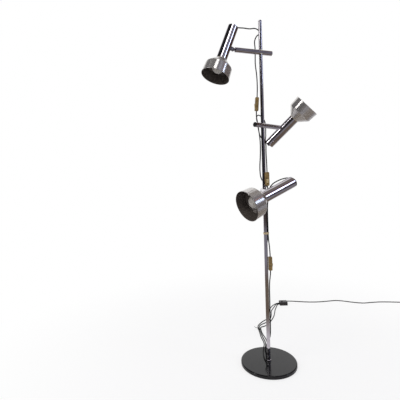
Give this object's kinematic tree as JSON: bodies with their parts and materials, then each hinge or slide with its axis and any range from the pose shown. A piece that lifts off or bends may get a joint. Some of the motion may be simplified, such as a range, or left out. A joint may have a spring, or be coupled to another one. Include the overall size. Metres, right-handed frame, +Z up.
{
  "type": "tree floor lamp",
  "caption": "Chromed floor lamp on a round weighted foot, with spot heads on short cross arms that slide and turn on the pole, swivel and tilt, and a switch on each cord.",
  "frame": {"origin": "on the floor, at the centre of the foot's underside and on the pole's axis", "axes": "+Z up the pole, +X to the right and +Y to the back, seen from the side that the picture shows"},
  "size_m": [1.5042, 1.0383, 1.55],
  "materials": {
    "chrome": "polished chrome plate",
    "black_lacquer": "glossy black lacquer",
    "felt": "black felt",
    "steel": "zinc-plated steel",
    "nylon": "natural nylon",
    "black_plastic": "black moulded plastic",
    "dark_joint": "black-finished steel",
    "spun_aluminium": "satin spun aluminium",
    "cream_plastic": "cream moulded plastic",
    "frosted_glass": "frosted glass",
    "cap_brass": "thin pressed brass",
    "black_cord": "black round flex",
    "grey_cord": "grey round flex",
    "bronze_plastic": "bronze-coloured moulded plastic",
    "pale_plastic": "pale yellow moulded plastic",
    "beige_tie": "beige plastic strip",
    "dark_box": "dark moulded plastic"
  },
  "bodies": {
    "stand": {"base_disc": "black_lacquer", "base_pad": "felt", "base_fixings": "steel", "pole_lower": "chrome", "pole_upper": "chrome", "pole_trims": "chrome", "pole_tie": "beige_tie", "switch_shells": "bronze_plastic", "cord_1_head": "black_cord", "cord_2_head": "black_cord", "cord_3_head": "black_cord", "cord_runs_upper": "black_cord", "cord_runs_lower": "black_cord", "cable_tie": "black_plastic", "junction_box": "dark_box", "mains_cord": "grey_cord", "mains_coil": "grey_cord", "mains_plug": "dark_box"},
    "slider_1": {"glide_1": "nylon"},
    "arm_1": {"arm_tube_1": "chrome", "arm_fittings_1": "chrome", "grip_spring_1": "steel"},
    "button_1": {"grip_button_1": "black_plastic"},
    "knuckle_1": {"knuckle_1": "dark_joint"},
    "head_1": {"head_bracket_1": "dark_joint", "head_tube_1": "chrome", "head_bell_1": "spun_aluminium", "head_cap_1": "black_plastic", "lamp_holder_1": "cream_plastic", "bulb_glass_1": "frosted_glass", "bulb_cap_1": "cap_brass"},
    "rocker_1": {"switch_rocker_1": "pale_plastic"},
    "slider_2": {"glide_2": "nylon"},
    "arm_2": {"arm_tube_2": "chrome", "arm_fittings_2": "chrome", "grip_spring_2": "steel"},
    "button_2": {"grip_button_2": "black_plastic"},
    "knuckle_2": {"knuckle_2": "dark_joint"},
    "head_2": {"head_bracket_2": "dark_joint", "head_tube_2": "chrome", "head_bell_2": "spun_aluminium", "head_cap_2": "black_plastic", "lamp_holder_2": "cream_plastic", "bulb_glass_2": "frosted_glass", "bulb_cap_2": "cap_brass"},
    "rocker_2": {"switch_rocker_2": "pale_plastic"},
    "slider_3": {"glide_3": "nylon"},
    "arm_3": {"arm_tube_3": "chrome", "arm_fittings_3": "chrome", "grip_spring_3": "steel"},
    "button_3": {"grip_button_3": "black_plastic"},
    "knuckle_3": {"knuckle_3": "dark_joint"},
    "head_3": {"head_bracket_3": "dark_joint", "head_tube_3": "chrome", "head_bell_3": "spun_aluminium", "head_cap_3": "black_plastic", "lamp_holder_3": "cream_plastic", "bulb_glass_3": "frosted_glass", "bulb_cap_3": "cap_brass"},
    "rocker_3": {"switch_rocker_3": "pale_plastic"}
  },
  "joints": [
    {"name": "arm_1_slide", "type": "slide", "parent": "stand", "child": "slider_1", "axis": [0, 0, 1], "range_m": [-0.1, 0.12], "deforming": ["cord_1_head"]},
    {"name": "arm_1_turn", "type": "hinge", "parent": "slider_1", "child": "arm_1", "pos_m": [0, 0, 1.4055], "axis": [0, 0, 1], "range_deg": [-60, 60], "deforming": ["cord_1_head"]},
    {"name": "button_1_press", "type": "slide", "parent": "arm_1", "child": "button_1", "axis": [-0.9438, -0.3305, 0], "range_m": [0, 0.005], "stiffness_N_per_m": 900, "springref_m": -0.006, "deforming": ["grip_spring_1"]},
    {"name": "knuckle_1_roll", "type": "hinge", "parent": "arm_1", "child": "knuckle_1", "pos_m": [-0.1293, -0.04528, 1.4055], "axis": [-0.9438, -0.3305, 0], "range_deg": [-90, 90], "deforming": ["cord_1_head"]},
    {"name": "head_1_tilt", "type": "hinge", "parent": "knuckle_1", "child": "head_1", "pos_m": [-0.1293, -0.04528, 1.4055], "axis": [-0.3286, 0.9385, -0.1063], "range_deg": [-53.7, 26.3], "deforming": ["cord_1_head"]},
    {"name": "rocker_1_tip", "type": "hinge", "parent": "stand", "child": "rocker_1", "pos_m": [-0.02876, 0, 1.16373], "axis": [0, -1, 0], "range_deg": [-10, 0]},
    {"name": "arm_2_slide", "type": "slide", "parent": "stand", "child": "slider_2", "axis": [0, 0, 1], "range_m": [-0.04, 0.04], "deforming": ["cord_2_head", "cord_runs_upper"]},
    {"name": "arm_2_turn", "type": "hinge", "parent": "slider_2", "child": "arm_2", "pos_m": [0, 0, 1.076], "axis": [0, 0, 1], "range_deg": [-45, 45], "deforming": ["cord_2_head", "cord_runs_upper"]},
    {"name": "button_2_press", "type": "slide", "parent": "arm_2", "child": "button_2", "axis": [0.7431, 0.6691, 0], "range_m": [0, 0.005], "stiffness_N_per_m": 900, "springref_m": -0.006, "deforming": ["grip_spring_2"]},
    {"name": "knuckle_2_roll", "type": "hinge", "parent": "arm_2", "child": "knuckle_2", "pos_m": [0.10181, 0.09167, 1.076], "axis": [0.7431, 0.6691, 0], "range_deg": [-90, 90], "deforming": ["cord_2_head"]},
    {"name": "head_2_tilt", "type": "hinge", "parent": "knuckle_2", "child": "head_2", "pos_m": [0.10181, 0.09167, 1.076], "axis": [-0.4648, 0.5162, 0.7193], "range_deg": [-45, 35], "deforming": ["cord_2_head"]},
    {"name": "rocker_2_tip", "type": "hinge", "parent": "stand", "child": "rocker_2", "pos_m": [0.011, -0.0198, 0.8255], "axis": [1, 0, 0], "range_deg": [-10, 0]},
    {"name": "arm_3_slide", "type": "slide", "parent": "stand", "child": "slider_3", "axis": [0, 0, 1], "range_m": [-0.08, 0.005], "deforming": ["cord_3_head", "cord_runs_upper"]},
    {"name": "arm_3_turn", "type": "hinge", "parent": "slider_3", "child": "arm_3", "pos_m": [0, 0, 0.7811], "axis": [0, 0, 1], "range_deg": [-35, 35], "deforming": ["cord_3_head", "cord_runs_upper"]},
    {"name": "button_3_press", "type": "slide", "parent": "arm_3", "child": "button_3", "axis": [-0.0209, -0.9998, 0], "range_m": [0, 0.005], "stiffness_N_per_m": 900, "springref_m": -0.006, "deforming": ["grip_spring_3"]},
    {"name": "knuckle_3_roll", "type": "hinge", "parent": "arm_3", "child": "knuckle_3", "pos_m": [-0.00287, -0.13697, 0.7811], "axis": [-0.0209, -0.9998, 0], "range_deg": [-90, 90], "deforming": ["cord_3_head"]},
    {"name": "head_3_tilt", "type": "hinge", "parent": "knuckle_3", "child": "head_3", "pos_m": [-0.00287, -0.13697, 0.7811], "axis": [-0.3826, 0.008, 0.9239], "range_deg": [-59.7, 20.3], "deforming": ["cord_3_head"]},
    {"name": "rocker_3_tip", "type": "hinge", "parent": "stand", "child": "rocker_3", "pos_m": [0.0216, -0.003, 0.4443], "axis": [0, 1, 0], "range_deg": [-10, 0]}
  ]
}
